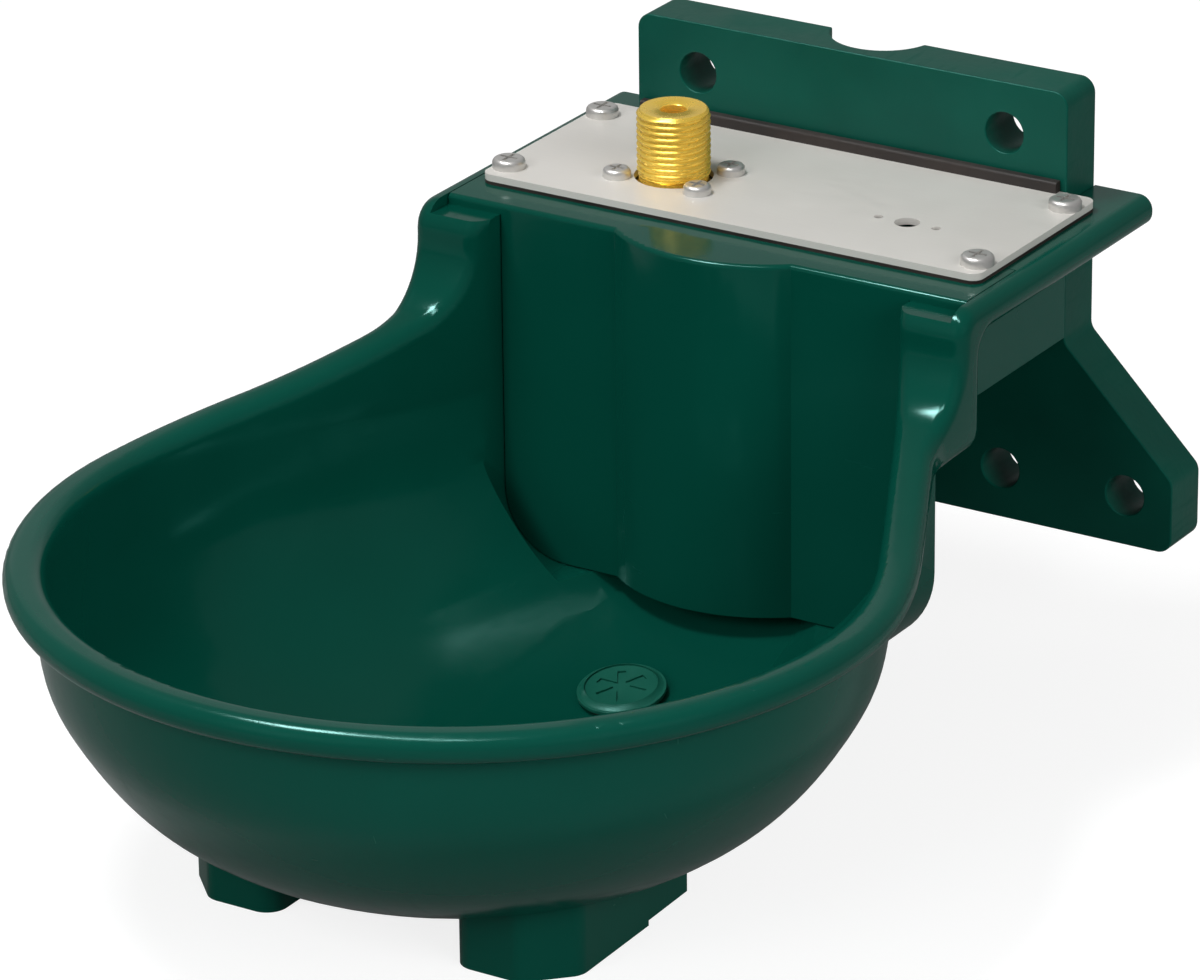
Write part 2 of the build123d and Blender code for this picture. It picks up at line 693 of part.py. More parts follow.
with BuildPart() as screw_inserts:
    for places, seat in ((front_screw_places, lip_seat), (back_screw_places, deck_level)):
        with Locations(*[(x, y, seat) for x, y in places]):
            Cylinder(insert_radius - insert_fit, insert_length, align=(Align.CENTER, Align.CENTER, Align.MAX))
            Hole(cover_screw_radius + running_gap, insert_length)
screw_inserts.part.label = "screw_inserts"
export_step(screw_inserts.part, "parts/screw_inserts.step")

with BuildPart() as valve_screws:
    with Locations(*[(x, y, plate_top) for x, y in valve_screw_places]):
        add(pan_screw(valve_screw_head_radius, valve_screw_head_height, valve_screw_radius, valve_screw_length))
valve_screws.part.label = "valve_screws"
export_step(valve_screws.part, "parts/valve_screws.step")

with BuildPart() as bracket_screws:
    for x, level in bracket_screw_places:
        with Locations(Plane(origin=(x, out(chamber_back), level), x_dir=(1, 0, 0), z_dir=(0, -1, 0))):
            add(pan_screw(bracket_screw_head_radius, bracket_screw_head_height, bracket_screw_radius,
                          bracket_screw_grip + rear_wall))
bracket_screws.part.label = "bracket_screws"
export_step(bracket_screws.part, "parts/bracket_screws.step")

# ---- float valve ----------------------------------------------------------------------
with BuildPart() as valve_body:
    with BuildSketch(Plane.XY.offset(deck_level)):
        with Locations((valve_x, valve_y)):
            RectangleRounded(valve_flange_length, valve_flange_width, valve_flange_corner)
    extrude(amount=-valve_flange_thickness)
    with Locations((valve_x, valve_y, barrel_base)):
        Cylinder(barrel_radius, deck_level - barrel_base, align=(Align.CENTER, Align.CENTER, Align.MIN))
    with Locations((valve_x, valve_y, deck_level)):
        Cylinder(thread_radius - relief_depth, stub_height, align=(Align.CENTER, Align.CENTER, Align.MIN))
    with Locations((valve_x, valve_y, plate_top + relief_height)):
        Cylinder(thread_radius, stub_height - relief_height, align=(Align.CENTER, Align.CENTER, Align.MIN))
    chamfer(valve_body.edges().sort_by(Axis.Z)[-1], thread_chamfer)
    # ears of the fork that carries the lever's pin
    for side in (-1, 1):
        ear_middle = wall_y - valve_y + side * (ear_gap + ear_thickness) / 2
        with BuildSketch(facing(ear_middle)):
            with Locations((pivot_x, pivot_level)):
                Circle(ear_radius)
            with BuildLine():
                Polyline((pivot_x - ear_radius, pivot_level), (pivot_x - ear_radius, ear_top - ear_radius),
                         (pivot_x, ear_top), (valve_x, ear_top), (valve_x, barrel_base),
                         (ear_front, barrel_base), (ear_front, pivot_level), (pivot_x - ear_radius, pivot_level))
            make_face()
        extrude(amount=ear_thickness / 2, both=True)
    with BuildSketch(facing(wall_y - valve_y)):
        with Locations((pivot_x, pivot_level)):
            Circle(pin_radius + running_gap)
    extrude(amount=ear_gap, both=True, mode=Mode.SUBTRACT)
    # bores: inlet from above, the piston's chamber from below, the outlet across it
    with Locations((valve_x, valve_y, barrel_base - ear_radius)):
        Cylinder(piston_bore_radius, chamber_roof - barrel_base + ear_radius,
                 align=(Align.CENTER, Align.CENTER, Align.MIN), mode=Mode.SUBTRACT)
    with Locations((valve_x, valve_y, barrel_base)):
        Cylinder(inlet_radius, above_all - barrel_base, align=(Align.CENTER, Align.CENTER, Align.MIN),
                 mode=Mode.SUBTRACT)
    with Locations((valve_x, valve_y, outlet_level)):
        Cylinder(outlet_radius, 4 * barrel_radius, rotation=(0, 90, 0), mode=Mode.SUBTRACT)
    with Locations(*[(x, y, deck_level) for x, y in valve_screw_places]):
        Hole(valve_screw_radius + running_gap, valve_flange_thickness)
valve_body.part.label = "valve_body"
export_step(valve_body.part, "parts/valve_body.step")

with BuildPart() as valve_nozzle:
    with Locations((valve_x, valve_y, seat_level)):
        Cylinder(inlet_radius - insert_fit, nozzle_length, align=(Align.CENTER, Align.CENTER, Align.MIN))
        Cylinder(orifice_radius, nozzle_length, align=(Align.CENTER, Align.CENTER, Align.MIN), mode=Mode.SUBTRACT)
valve_nozzle.part.label = "valve_nozzle"
export_step(valve_nozzle.part, "parts/valve_nozzle.step")

with BuildPart() as piston:
    with Locations((valve_x, valve_y, piston_base)):
        Cylinder(piston_bore_radius - running_gap, piston_length, align=(Align.CENTER, Align.CENTER, Align.MIN))
    with Locations((valve_x, valve_y, washer_base)):
        Cylinder(washer_radius, washer_recess, align=(Align.CENTER, Align.CENTER, Align.MIN), mode=Mode.SUBTRACT)
    chamfer(piston.edges().sort_by(Axis.Z)[0], 0.5)
piston.part.label = "piston"
export_step(piston.part, "parts/piston.step")

with BuildPart() as piston_washer:
    with Locations((valve_x, valve_y, washer_base)):
        Cylinder(washer_radius - insert_fit, washer_thickness, align=(Align.CENTER, Align.CENTER, Align.MIN))
piston_washer.part.label = "piston_washer"
export_step(piston_washer.part, "parts/piston_washer.step")

pin_half = ear_gap / 2 + ear_thickness + screw_gap + 2 * clip_thickness
with BuildPart() as pivot_pin:
    with BuildSketch(facing(wall_y - valve_y)):
        with Locations((pivot_x, pivot_level)):
            Circle(pin_radius)
    extrude(amount=pin_half, both=True)
pivot_pin.part.label = "pivot_pin"
export_step(pivot_pin.part, "parts/pivot_pin.step")

with BuildPart() as pin_clips:
    for side in (-1, 1):
        clip_middle = wall_y - valve_y + side * (ear_gap / 2 + ear_thickness + screw_gap + clip_thickness / 2)
        with BuildSketch(facing(clip_middle)):
            with Locations((pivot_x, pivot_level)):
                Circle(clip_radius)
                Circle(pin_radius, mode=Mode.SUBTRACT)
        extrude(amount=clip_thickness / 2, both=True)
pin_clips.part.label = "pin_clips"
export_step(pin_clips.part, "parts/pin_clips.step")

# ---- float lever, hanging as in an empty bowl -----------------------------------------
with BuildPart() as float_arm:
    with BuildSketch(arm_side):
        Circle(arm_eye_radius)
        with Locations(((arm_length + arm_end) / 2, 0)):
            Rectangle(arm_length + arm_end, arm_thickness)
        Circle(pin_radius + running_gap, mode=Mode.SUBTRACT)
    extrude(amount=arm_width / 2, both=True)
    with BuildSketch(arm_top):
        with Locations((pivot_offset, 0)):
            Circle(level_screw_radius + running_gap)
        with Locations((arm_length, 0)):
            Circle(stud_radius + screw_gap)
    extrude(amount=arm_thickness, both=True, mode=Mode.SUBTRACT)
float_arm.part.label = "float_arm"
export_step(float_arm.part, "parts/float_arm.step")

with BuildPart() as level_screw:
    with BuildSketch(arm_top.offset(level_screw_rise)):
        with Locations((pivot_offset, 0)):
            Circle(level_screw_radius)
    extrude(amount=-level_screw_rise - arm_thickness / 2)
    fillet(level_screw.edges().sort_by(Axis.Z)[-1], 0.95 * level_screw_radius)
    with BuildSketch(arm_top.offset(-arm_thickness / 2)):
        with Locations((pivot_offset, 0)):
            Circle(1.8 * level_screw_radius)
    extrude(amount=-level_screw_radius)
    with BuildSketch(arm_top.offset(-arm_thickness / 2 - level_screw_radius)):
        with Locations((pivot_offset, 0)):
            Rectangle(4 * level_screw_radius, slot_width)
    extrude(amount=slot_depth, mode=Mode.SUBTRACT)
level_screw.part.label = "level_screw"
export_step(level_screw.part, "parts/level_screw.step")

with BuildPart() as level_nut:
    with BuildSketch(arm_top.offset(arm_thickness / 2)):
        with Locations((pivot_offset, 0)):
            RegularPolygon(level_nut_flats / 2, 6, major_radius=False)
            Circle(level_screw_radius + running_gap, mode=Mode.SUBTRACT)
    extrude(amount=level_nut_height)
level_nut.part.label = "level_nut"
export_step(level_nut.part, "parts/level_nut.step")

float_top = -arm_thickness / 2 - float_neck
with BuildPart() as float_part:
    with BuildSketch(arm_top.offset(float_top)):
        with Locations((arm_length, 0)):
            RectangleRounded(float_length, float_width, float_round)
    extrude(amount=-float_height)
    fillet(float_part.faces().filter_by(Axis((0, 0, 0), arm_top.z_dir)).edges(), float_round / 2)
    with BuildSketch(arm_top.offset(float_top - 1)):
        with Locations((arm_length, 0)):
            Circle(float_neck_radius)
    extrude(amount=float_neck + 1)
    with BuildSketch(arm_top.offset(-arm_thickness / 2)):
        with Locations((arm_length, 0)):
            Circle(stud_radius)
    extrude(amount=-stud_depth, mode=Mode.SUBTRACT)
float_part.part.label = "float"
export_step(float_part.part, "parts/float.step")

with BuildPart() as float_screw:
    with BuildSketch(arm_top.offset(-arm_thickness / 2 - stud_depth)):
        with Locations((arm_length, 0)):
            Circle(stud_radius)
    extrude(amount=stud_depth + arm_thickness + float_nut_height + stud_radius / 2)
    chamfer(float_screw.edges().sort_by(Axis.Z)[-1], stud_radius / 4)
float_screw.part.label = "float_screw"
export_step(float_screw.part, "parts/float_screw.step")

with BuildPart() as float_nut:
    with BuildSketch(arm_top.offset(arm_thickness / 2)):
        with Locations((arm_length, 0)):
            RegularPolygon(float_nut_flats / 2, 6, major_radius=False)
            Circle(stud_radius + running_gap, mode=Mode.SUBTRACT)
    extrude(amount=float_nut_height)
float_nut.part.label = "float_nut"
export_step(float_nut.part, "parts/float_nut.step")

# ---- drain plug -----------------------------------------------------------------------
head_plane = drain_plane.offset(drain_seal_thickness)
with BuildPart() as drain_plug:
    with BuildSketch(head_plane):
        Circle(drain_head_radius)
    extrude(amount=drain_head_height)
    top_rim = drain_plug.edges().sort_by(Axis.Z)[-1]
    fillet(top_rim, drain_head_height / 3)
    with BuildSketch(head_plane):
        Circle(drain_shank_radius)
    extrude(amount=-drain_seal_thickness - ramp_skin - drain_shank_below)
    # raised ring and a three-way grip slot
    with BuildSketch(head_plane.offset(drain_head_height)):
        Circle(drain_head_radius - drain_ring_width)
        with PolarLocations(0, 3, angular_range=180):
            Rectangle(drain_grip_length, drain_grip_width, mode=Mode.SUBTRACT)
    extrude(amount=-drain_recess / 2, mode=Mode.SUBTRACT)
    with BuildSketch(head_plane.offset(drain_head_height)):
        with PolarLocations(0, 3, angular_range=180):
            Rectangle(drain_grip_length, drain_grip_width)
    extrude(amount=-drain_recess, mode=Mode.SUBTRACT)
drain_plug.part.label = "drain_plug"
export_step(drain_plug.part, "parts/drain_plug.step")

with BuildPart() as drain_seal:
    with BuildSketch(drain_plane):
        Circle(drain_seal_radius)
        Circle(drain_shank_radius + insert_fit, mode=Mode.SUBTRACT)
    extrude(amount=drain_seal_thickness)
drain_seal.part.label = "drain_seal"
export_step(drain_seal.part, "parts/drain_seal.step")
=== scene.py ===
import json
from math import cos, pi, radians, sin

import bmesh
import bpy
from mathutils import Matrix, Vector

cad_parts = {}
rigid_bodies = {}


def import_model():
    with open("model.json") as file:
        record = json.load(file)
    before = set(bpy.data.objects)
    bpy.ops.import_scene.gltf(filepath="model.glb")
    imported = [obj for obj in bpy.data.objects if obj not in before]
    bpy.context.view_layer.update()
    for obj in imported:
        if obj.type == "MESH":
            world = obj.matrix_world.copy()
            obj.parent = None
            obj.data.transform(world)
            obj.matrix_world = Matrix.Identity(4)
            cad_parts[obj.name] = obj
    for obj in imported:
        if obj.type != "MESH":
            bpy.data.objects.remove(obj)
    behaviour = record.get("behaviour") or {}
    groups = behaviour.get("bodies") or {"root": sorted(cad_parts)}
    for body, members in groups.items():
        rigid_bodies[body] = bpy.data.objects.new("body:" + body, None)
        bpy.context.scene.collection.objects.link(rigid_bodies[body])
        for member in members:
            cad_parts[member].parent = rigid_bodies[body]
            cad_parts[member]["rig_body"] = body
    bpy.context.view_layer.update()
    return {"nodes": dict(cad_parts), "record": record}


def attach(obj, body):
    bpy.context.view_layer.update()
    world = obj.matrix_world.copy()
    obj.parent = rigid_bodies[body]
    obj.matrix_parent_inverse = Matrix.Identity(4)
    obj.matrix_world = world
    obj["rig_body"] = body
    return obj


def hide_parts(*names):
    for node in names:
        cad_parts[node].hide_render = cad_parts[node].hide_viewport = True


# Livestock drinking bowl with a float valve. Metres, in the frame of the CAD.

MM = 0.001

# camera: where it stands and how it is turned
CAMERA_PLACE = (0.9641, -1.51695, 0.8470)
CAMERA_AZIMUTH, CAMERA_ELEVATION, CAMERA_ROLL = radians(32.11), radians(22.788), radians(0.662)
CAMERA_SENSOR, CAMERA_LENS, CAMERA_REACH = 36, 216.99, 50

# studio: how bright the backdrop and the floor look to the camera, to reflections and to the object
BACKDROP_TO_CAMERA, BACKDROP_TO_GLOSS, BACKDROP_TO_ALL = 0.77, 0.0, 0.23
FLOOR_TO_CAMERA, FLOOR_TO_GLOSS = 0.82, 0.03
FLOOR_GREY = 0.28
FLOOR_HALF_WIDTH = 12

# finishes
GREEN_GLOSS = (0.45, 1.0, 0.94, 1.0)    # the plastic's shine keeps some of its colour
RUB_ROUGHNESS = 0.25                    # what a rub mark adds to the roughness

# drain plug: the plane it sits on, and the part of its head that is drawn down
DRAIN_SEAT = Vector((0, 29.75 * MM, 19.75 * MM))
DRAIN_UP = Vector((0, -0.175571, 0.984467))
BRIM_INNER_RADIUS = 11.2 * MM
BRIM_LEVEL = 2.2 * MM
BRIM_DROP = 0.92                        # share of its height over that level

# threaded stub of the valve
STUB_AXIS = Vector((-32 * MM, 111.35 * MM, 0))
STUB_CUT, STUB_TOP = 141.35 * MM, 161 * MM
STUB_FOOT = STUB_CUT + 0.05 * MM
THREAD_PITCH, THREAD_CREST, THREAD_ROOT = 1.814 * MM, 10.478 * MM, 9.65 * MM
THREAD_SHOULDER = 0.92 * THREAD_CREST + 0.08 * THREAD_ROOT
THREAD_STEPS = 64                       # steps in one turn
THREAD_TURNS = range(-2, 13)            # counted from the cut, with spare turns that are cut off
RIDGE = ((0.0, THREAD_ROOT), (0.14, THREAD_ROOT), (0.40, THREAD_SHOULDER), (0.5, THREAD_CREST),
         (0.60, THREAD_SHOULDER), (0.86, THREAD_ROOT))
NECK_RADIUS, NECK_HEIGHT = 9.878 * MM, 0.2 * MM
LEAD_IN = 1.1 * MM
BORE_RADIUS, BORE_MOUTH, BORE_CHAMFER = 3.75 * MM, 4.5 * MM, 0.6 * MM

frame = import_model()


# ---- steps inside a node tree ---------------------------------------------------------
def reckon(tree, operation, first, second):
    math_node = tree.nodes.new("ShaderNodeMath")
    math_node.operation = operation
    for socket, value in zip(math_node.inputs, (first, second)):
        if isinstance(value, (int, float)):
            socket.default_value = value
        else:
            tree.links.new(value, socket)
    return math_node.outputs[0]


def spread(tree, value, low, high, to_low=0.0, to_high=1.0):
    """Widens a narrow band of values."""
    span = tree.nodes.new("ShaderNodeMapRange")
    span.inputs["From Min"].default_value = low
    span.inputs["From Max"].default_value = high
    span.inputs["To Min"].default_value = to_low
    span.inputs["To Max"].default_value = to_high
    tree.links.new(value, span.inputs["Value"])
    return span.outputs["Result"]


def ray_share(tree, camera, glossy, base=0.0):
    """A strength that differs for the camera and clear glass, for reflections and for all rays."""
    path = tree.nodes.new("ShaderNodeLightPath")
    seen = reckon(tree, "MAXIMUM", path.outputs["Is Camera Ray"], path.outputs["Is Transmission Ray"])
    mirrored = reckon(tree, "MULTIPLY", path.outputs["Is Glossy Ray"], glossy)
    direct = reckon(tree, "MULTIPLY", seen, camera)
    return reckon(tree, "ADD", reckon(tree, "ADD", direct, mirrored), base)


def stretched_noise(tree, source, stretch, scale, detail):
    """Noise on the piece's own coordinates, pulled out by a Mapping node."""
    mapping = tree.nodes.new("ShaderNodeMapping")
    mapping.inputs["Scale"].default_value = stretch
    noise = tree.nodes.new("ShaderNodeTexNoise")
    noise.inputs["Scale"].default_value = scale
    noise.inputs["Detail"].default_value = detail
    tree.links.new(source, mapping.inputs["Vector"])
    tree.links.new(mapping.outputs["Vector"], noise.inputs["Vector"])
    return noise.outputs["Fac"]


# ---- camera, lamps and floor ----------------------------------------------------------
def aim_camera():
    back = Vector((sin(CAMERA_AZIMUTH) * cos(CAMERA_ELEVATION), -cos(CAMERA_AZIMUTH) * cos(CAMERA_ELEVATION),
                   sin(CAMERA_ELEVATION)))
    level_right = Vector((cos(CAMERA_AZIMUTH), sin(CAMERA_AZIMUTH), 0))
    level_up = back.cross(level_right)
    right = cos(CAMERA_ROLL) * level_right - sin(CAMERA_ROLL) * level_up
    up = sin(CAMERA_ROLL) * level_right + cos(CAMERA_ROLL) * level_up
    data = bpy.data.cameras.new("camera")
    data.sensor_width = CAMERA_SENSOR
    data.lens = CAMERA_LENS
    data.clip_end = CAMERA_REACH
    camera = bpy.data.objects.new("camera", data)
    place = Matrix((right, up, back)).transposed().to_4x4()
    place.translation = Vector(CAMERA_PLACE)
    camera.matrix_world = place
    bpy.context.scene.collection.objects.link(camera)
    bpy.context.scene.camera = camera


def softbox(name, place, target, width, height, power, mirrored=True, lights_surfaces=True):
    data = bpy.data.lights.new(name, "AREA")
    data.shape = "RECTANGLE"
    data.size = width
    data.size_y = height
    data.energy = power
    lamp = bpy.data.objects.new(name, data)
    lamp.location = place
    lamp.rotation_euler = (Vector(target) - Vector(place)).to_track_quat("-Z", "Y").to_euler()
    lamp.visible_glossy = mirrored
    lamp.visible_diffuse = lights_surfaces
    bpy.context.scene.collection.objects.link(lamp)


def light_studio():
    world = bpy.data.worlds.new("studio")
    bpy.context.scene.world = world
    world.use_nodes = True
    tree = world.node_tree
    background = tree.nodes["Background"]
    background.inputs["Color"].default_value = (1, 1, 1, 1)
    strength = ray_share(tree, BACKDROP_TO_CAMERA, BACKDROP_TO_GLOSS, BACKDROP_TO_ALL)
    tree.links.new(strength, background.inputs["Strength"])
    # general light from above, which the pillars mirror too
    softbox("overhead_lamp", (-0.45, -0.25, 1.45), (0, 0, 0.1), 0.42, 0.28, 12)
    # seen in reflections alone: the plate's soft shine, and the line along the bead
    softbox("rear_lamp", (-1.3, 1.9, 1.0), (0, 0, 0.1), 2.4, 1.2, 1.4, lights_surfaces=False)
    softbox("bead_lamp", (-0.12, -0.42, 1.5), (0, -0.1, 0.1), 1.1, 0.14, 11, lights_surfaces=False)
    # fill light that no reflection shows
    softbox("side_lamp", (1.6, -0.45, 0.8), (0, 0.05, 0.1), 1.2, 0.9, 16, mirrored=False)
    softbox("front_lamp", (-0.35, -1.7, 0.95), (0, -0.05, 0.05), 1.2, 0.9, 17, mirrored=False)


def lay_floor():
    sheet = bmesh.new()
    bmesh.ops.create_grid(sheet, x_segments=1, y_segments=1, size=FLOOR_HALF_WIDTH)
    mesh = bpy.data.meshes.new("floor")
    sheet.to_mesh(mesh)
    sheet.free()
    floor = bpy.data.objects.new("floor", mesh)
    bpy.context.scene.collection.objects.link(floor)
    material = bpy.data.materials.new("pale_floor")
    material.use_nodes = True
    tree = material.node_tree
    tree.nodes.clear()
    output = tree.nodes.new("ShaderNodeOutputMaterial")
    paper = tree.nodes.new("ShaderNodeBsdfDiffuse")
    paper.inputs["Color"].default_value = (FLOOR_GREY, FLOOR_GREY, FLOOR_GREY, 1)
    glow = tree.nodes.new("ShaderNodeEmission")
    both = tree.nodes.new("ShaderNodeAddShader")
    tree.links.new(ray_share(tree, FLOOR_TO_CAMERA, FLOOR_TO_GLOSS), glow.inputs["Strength"])
    tree.links.new(paper.outputs[0], both.inputs[0])
    tree.links.new(glow.outputs[0], both.inputs[1])
    tree.links.new(both.outputs[0], output.inputs["Surface"])
    mesh.materials.append(material)


# ---- effects that several finishes share ----------------------------------------------
def start_group(name, sockets_in, sockets_out):
    group = bpy.data.node_groups.new(name, "ShaderNodeTree")
    for label, kind, value in sockets_in:
        socket = group.interface.new_socket(name=label, in_out="INPUT", socket_type=kind)
        if value is not None:
            socket.default_value = value
    for label, kind in sockets_out:
        group.interface.new_socket(name=label, in_out="OUTPUT", socket_type=kind)
    return group, group.nodes.new("NodeGroupInput"), group.nodes.new("NodeGroupOutput")


def moulding_marks():
    """Cloudy tone, rub marks and the faint orange peel of a moulded plastic skin."""
    group, source, result = start_group(
        "moulding_marks",
        (("Position", "NodeSocketVector", None), ("Cloud Size", "NodeSocketFloat", 9.0),
         ("Rubbing", "NodeSocketFloat", 0.5)),
        (("Cloud", "NodeSocketFloat"), ("Rub", "NodeSocketFloat"), ("Peel", "NodeSocketFloat")))
    position = source.outputs["Position"]
    cloud = group.nodes.new("ShaderNodeTexNoise")
    cloud.inputs["Detail"].default_value = 3
    group.links.new(position, cloud.inputs["Vector"])
    group.links.new(source.outputs["Cloud Size"], cloud.inputs["Scale"])
    across = spread(group, stretched_noise(group, position, (1, 1, 9), 34, 4), 0.55, 0.8)
    along = spread(group, stretched_noise(group, position, (9, 1.4, 1), 30, 4), 0.56, 0.8)
    marks = reckon(group, "MAXIMUM", across, along)
    group.links.new(spread(group, cloud.outputs["Fac"], 0.3, 0.7), result.inputs["Cloud"])
    group.links.new(reckon(group, "MULTIPLY", marks, source.outputs["Rubbing"]), result.inputs["Rub"])
    group.links.new(stretched_noise(group, position, (1, 1, 1), 420, 2), result.inputs["Peel"])
    return group


def machined_marks():
    """Fine lines of rolled or turned metal, stretched one way, with a slow change in tone."""
    group, source, result = start_group(
        "machined_marks",
        (("Position", "NodeSocketVector", None), ("Stretch", "NodeSocketVector", (1.0, 12.0, 12.0))),
        (("Tone", "NodeSocketFloat"), ("Lines", "NodeSocketFloat")))
    position = source.outputs["Position"]
    pulled = group.nodes.new("ShaderNodeVectorMath")
    pulled.operation = "MULTIPLY"
    group.links.new(position, pulled.inputs[0])
    group.links.new(source.outputs["Stretch"], pulled.inputs[1])
    lines = group.nodes.new("ShaderNodeTexNoise")
    lines.inputs["Scale"].default_value = 130
    lines.inputs["Detail"].default_value = 5
    group.links.new(pulled.outputs[0], lines.inputs["Vector"])
    tone = spread(group, stretched_noise(group, position, (1, 1, 1), 14, 3), 0.3, 0.7)
    group.links.new(tone, result.inputs["Tone"])
    group.links.new(spread(group, lines.outputs["Fac"], 0.3, 0.7), result.inputs["Lines"])
    return group


# ---- finishes -------------------------------------------------------------------------
class Finish:
    """A material under way: its Principled shader, its coordinates and a few joining steps."""

    def __init__(self, name, marks, values):
        self.material = bpy.data.materials.new(name)
        self.material.use_nodes = True
        self.tree = self.material.node_tree
        self.tree.nodes.clear()
        self.shader = self.tree.nodes.new("ShaderNodeBsdfPrincipled")
        output = self.tree.nodes.new("ShaderNodeOutputMaterial")
        self.tree.links.new(self.shader.outputs["BSDF"], output.inputs["Surface"])
        self.marks = self.tree.nodes.new("ShaderNodeGroup")
        self.marks.node_tree = marks
        coordinates = self.tree.nodes.new("ShaderNodeTexCoord")
        self.tree.links.new(coordinates.outputs["Object"], self.marks.inputs["Position"])
        for label, value in values.items():
            self.shader.inputs[label].default_value = value

    def tint(self, source, dark, light):
        ramp = self.tree.nodes.new("ShaderNodeValToRGB")
        ramp.color_ramp.elements[0].color = (*dark, 1)
        ramp.color_ramp.elements[1].color = (*light, 1)
        self.tree.links.new(source, ramp.inputs["Fac"])
        self.tree.links.new(ramp.outputs["Color"], self.shader.inputs["Base Color"])

    def roughen(self, source, low, high, rubs=None):
        value = spread(self.tree, source, 0, 1, low, high)
        if rubs is not None:
            value = reckon(self.tree, "ADD", value, reckon(self.tree, "MULTIPLY", rubs, RUB_ROUGHNESS))
        self.tree.links.new(value, self.shader.inputs["Roughness"])

    def emboss(self, source, depth):
        bump = self.tree.nodes.new("ShaderNodeBump")
        bump.inputs["Distance"].default_value = depth
        self.tree.links.new(source, bump.inputs["Height"])
        self.tree.links.new(bump.outputs["Normal"], self.shader.inputs["Normal"])


def plastic(name, marks, dark, light, rough, cloud_size, rubbing, peel, values):
    finish = Finish(name, marks, values)
    finish.marks.inputs["Cloud Size"].default_value = cloud_size
    finish.marks.inputs["Rubbing"].default_value = rubbing
    finish.tint(finish.marks.outputs["Cloud"], dark, light)
    finish.roughen(finish.marks.outputs["Cloud"], *rough, finish.marks.outputs["Rub"])
    finish.emboss(finish.marks.outputs["Peel"], peel)
    return finish.material


def metal(name, marks, dark, light, rough, stretch, depth, metallic):
    finish = Finish(name, marks, {"Metallic": metallic})
    finish.marks.inputs["Stretch"].default_value = stretch
    finish.tint(finish.marks.outputs["Tone"], dark, light)
    finish.roughen(finish.marks.outputs["Lines"], *rough)
    finish.emboss(finish.marks.outputs["Lines"], depth)
    return finish.material


COLOURED_SHINE = {"IOR": 1.36, "Specular Tint": GREEN_GLOSS}
# name: dark tone, light tone, roughness from and to, cloud size, rubbing, depth of the peel, shader values
PLASTICS = {
    "gloss_green": ((0.0007, 0.051, 0.034), (0.0014, 0.064, 0.044), (0.12, 0.2), 9, 0.5, 0.00002, COLOURED_SHINE),
    "matte_green": ((0.0007, 0.05, 0.034), (0.0014, 0.071, 0.048), (0.34, 0.5), 24, 0.6, 0.00006, COLOURED_SHINE),
    "plug_green": ((0.004, 0.075, 0.05), (0.008, 0.1, 0.068), (0.3, 0.42), 40, 0.5, 0.00003, COLOURED_SHINE),
    "white_plastic": ((0.66, 0.66, 0.63), (0.74, 0.74, 0.71), (0.32, 0.44), 30, 0.5, 0.00003, {}),
    "seal_rubber": ((0.012, 0.009, 0.008), (0.028, 0.021, 0.018), (0.6, 0.8), 60, 0.4, 0.0001, {}),
}
# name: dark tone, light tone, roughness from and to, stretch of the lines, their depth, how metallic
METALS = {
    "plate_steel": ((0.71, 0.69, 0.65), (0.79, 0.77, 0.73), (0.4, 0.52), (1, 14, 14), 0.000004, 0.35),
    "steel": ((0.56, 0.55, 0.53), (0.66, 0.65, 0.63), (0.3, 0.42), (3, 3, 3), 0.00001, 0.75),
    "brass": ((0.95, 0.62, 0.08), (0.99, 0.72, 0.13), (0.2, 0.32), (2, 2, 14), 0.000004, 0.6),
}
moulded = moulding_marks()
machined = machined_marks()
finishes = {name: plastic(name, moulded, *look) for name, look in PLASTICS.items()}
finishes.update({name: metal(name, machined, *look) for name, look in METALS.items()})
slot_of = {entry["node"]: entry["material_slot"] for entry in frame["record"]["subparts"]}


# ---- pieces ---------------------------------------------------------------------------
def link_piece(name, work, node):
    """Turns a bmesh into a piece that stands for a node and rides on its body."""
    mesh = bpy.data.meshes.new(name)
    work.to_mesh(mesh)
    work.free()
    mesh.materials.append(finishes[slot_of[node]])
    piece = bpy.data.objects.new(name, mesh)
    bpy.context.scene.collection.objects.link(piece)
    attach(piece, frame["nodes"][node]["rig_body"])
    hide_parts(node)


def merged(node):
    """The node's own mesh with its loose triangles joined."""
    work = bmesh.new()
    work.from_mesh(frame["nodes"][node].data)
    bmesh.ops.remove_doubles(work, verts=work.verts, dist=0.002 * MM)
    return work


def smoothed(work, crease):
    """Smooth faces, kept apart at edges sharper than the crease."""
    for face in work.faces:
        face.smooth = True
    for edge in work.edges:
        edge.smooth = edge.calc_face_angle(pi) < radians(crease)
    return work


def softened(work, crease, width, segments):
    """Flat faces joined up, then every edge sharper than the crease rounded a little."""
    bmesh.ops.dissolve_limit(work, angle_limit=radians(0.5), verts=work.verts, edges=work.edges)
    edges = [edge for edge in work.edges if edge.calc_face_angle(0) > radians(crease)]
    bmesh.ops.bevel(work, geom=edges, offset=width, offset_type="OFFSET", segments=segments, profile=0.5,
                    affect="EDGES", clamp_overlap=True, material=-1)
    return work


def cut_off(work, level, side):
    """Takes away what lies over (side 1) or under (side -1) a level, and gives the cut edges."""
    everything = work.verts[:] + work.edges[:] + work.faces[:]
    sliced = bmesh.ops.bisect_plane(work, geom=everything, plane_co=(0, 0, level), plane_no=(0, 0, side),
                                    clear_outer=True)
    return [item for item in sliced["geom_cut"] if isinstance(item, bmesh.types.BMEdge)]


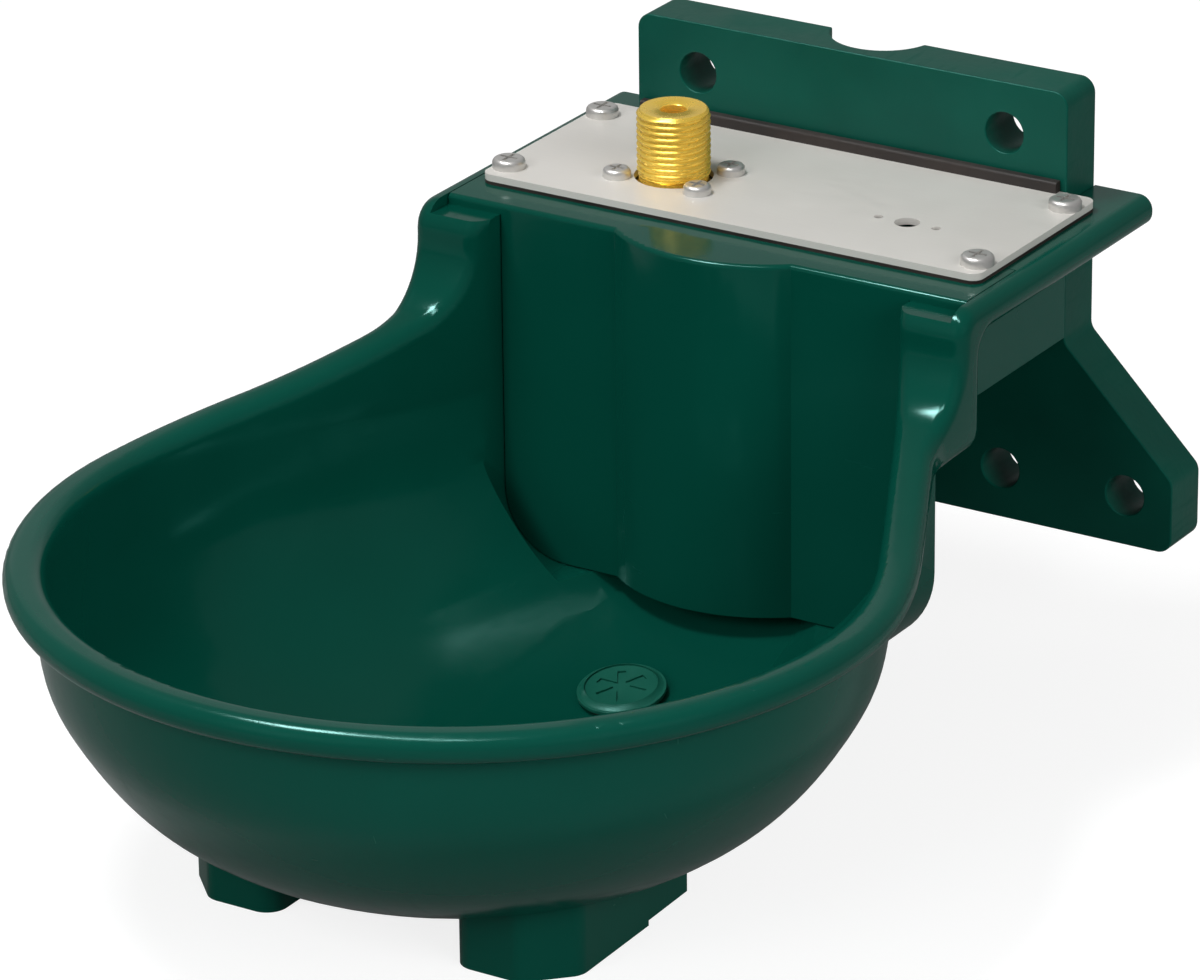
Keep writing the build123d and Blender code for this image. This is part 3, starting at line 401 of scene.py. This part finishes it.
def low_drain_plug():
    """The drain plug with the brim of its head drawn down, so that it sits low in the dish."""
    work = merged("drain_plug")
    for vert in work.verts:
        rise = (vert.co - DRAIN_SEAT).dot(DRAIN_UP)
        reach = (vert.co - DRAIN_SEAT - DRAIN_UP * rise).length
        if rise > BRIM_LEVEL and reach > BRIM_INNER_RADIUS:
            vert.co -= DRAIN_UP * (rise - BRIM_LEVEL) * BRIM_DROP
    return smoothed(work, 50)


def thread_skin():
    """One upright column of ridges, turned once while it climbs one pitch, and cut level at both ends."""
    thread = bmesh.new()
    last = None
    for turn in THREAD_TURNS:
        for share, radius in RIDGE:
            vert = thread.verts.new(STUB_AXIS + Vector((radius, 0, STUB_CUT + (turn + share) * THREAD_PITCH)))
            if last:
                thread.edges.new((last, vert))
            last = vert
    bmesh.ops.spin(thread, geom=thread.verts[:] + thread.edges[:], cent=STUB_AXIS, axis=(0, 0, 1),
                   dvec=(0, 0, THREAD_PITCH / THREAD_STEPS), angle=2 * pi, steps=THREAD_STEPS)
    bmesh.ops.remove_doubles(thread, verts=thread.verts, dist=0.01 * MM)
    cut_off(thread, STUB_FOOT, -1)
    cut_off(thread, STUB_TOP, 1)
    return thread


def trim_thread(thread):
    """The lead-in chamfer at the top, and the ridges' fading into the neck above the plate."""
    for vert in thread.verts:
        arm = (vert.co - STUB_AXIS).xy
        chamfer = THREAD_CREST - max(0, vert.co.z - (STUB_TOP - LEAD_IN))
        neck = NECK_RADIUS + max(0, vert.co.z - STUB_CUT - NECK_HEIGHT)
        limit = min(chamfer, neck)
        if arm.length > limit:
            vert.co.xy = STUB_AXIS.xy + arm.normalized() * limit


def open_bore(thread):
    """Draws each open end inwards ring by ring, and joins the last two rings as the bore."""
    top_rings = ((BORE_MOUTH, STUB_TOP), (BORE_RADIUS, STUB_TOP - BORE_CHAMFER))
    foot_rings = ((BORE_RADIUS, STUB_FOOT),)
    last_rings = []
    for level, rings in ((STUB_TOP, top_rings), (STUB_FOOT, foot_rings)):
        ring = [edge for edge in thread.edges
                if edge.is_boundary and abs(edge.verts[0].co.z - level) < 0.01 * MM]
        for radius, height in rings:
            drawn = bmesh.ops.extrude_edge_only(thread, edges=ring)["geom"]
            ring = [item for item in drawn if isinstance(item, bmesh.types.BMEdge) and item.is_boundary]
            for vert in {vert for edge in ring for vert in edge.verts}:
                vert.co.xy = STUB_AXIS.xy + (vert.co - STUB_AXIS).xy.normalized() * radius
                vert.co.z = height
        last_rings += ring
    bmesh.ops.bridge_loops(thread, edges=last_rings)
    bmesh.ops.recalc_face_normals(thread, faces=thread.faces)


def valve_with_thread():
    """The valve below the plate as it is, and above it a stub with a helical pipe thread."""
    work = merged("valve_body")
    bmesh.ops.bridge_loops(work, edges=cut_off(work, STUB_CUT, 1))
    thread = thread_skin()
    trim_thread(thread)
    open_bore(thread)
    stub = bpy.data.meshes.new("stub")
    thread.to_mesh(stub)
    thread.free()
    work.from_mesh(stub)
    bpy.data.meshes.remove(stub)
    return smoothed(work, 40)


aim_camera()
light_studio()
lay_floor()

link_piece("moulded_bowl", smoothed(merged("bowl_body"), 28), "bowl_body")
link_piece("moulded_cover", smoothed(merged("front_cover"), 28), "front_cover")
link_piece("moulded_bracket", smoothed(softened(merged("wall_bracket"), 40, 0.9 * MM, 3), 12), "wall_bracket")
link_piece("cut_plate", smoothed(merged("cover_plate"), 12), "cover_plate")
link_piece("threaded_inlet_valve", valve_with_thread(), "valve_body")
link_piece("round_drain_plug", low_drain_plug(), "drain_plug")
for node in ("cover_screws", "valve_screws", "rear_seal_strip"):
    link_piece("turned_" + node, smoothed(merged(node), 30), node)
for node, item in frame["nodes"].items():
    item.data.materials.clear()
    item.data.materials.append(finishes[slot_of[node]])

bpy.context.scene.view_settings.view_transform = "Standard"
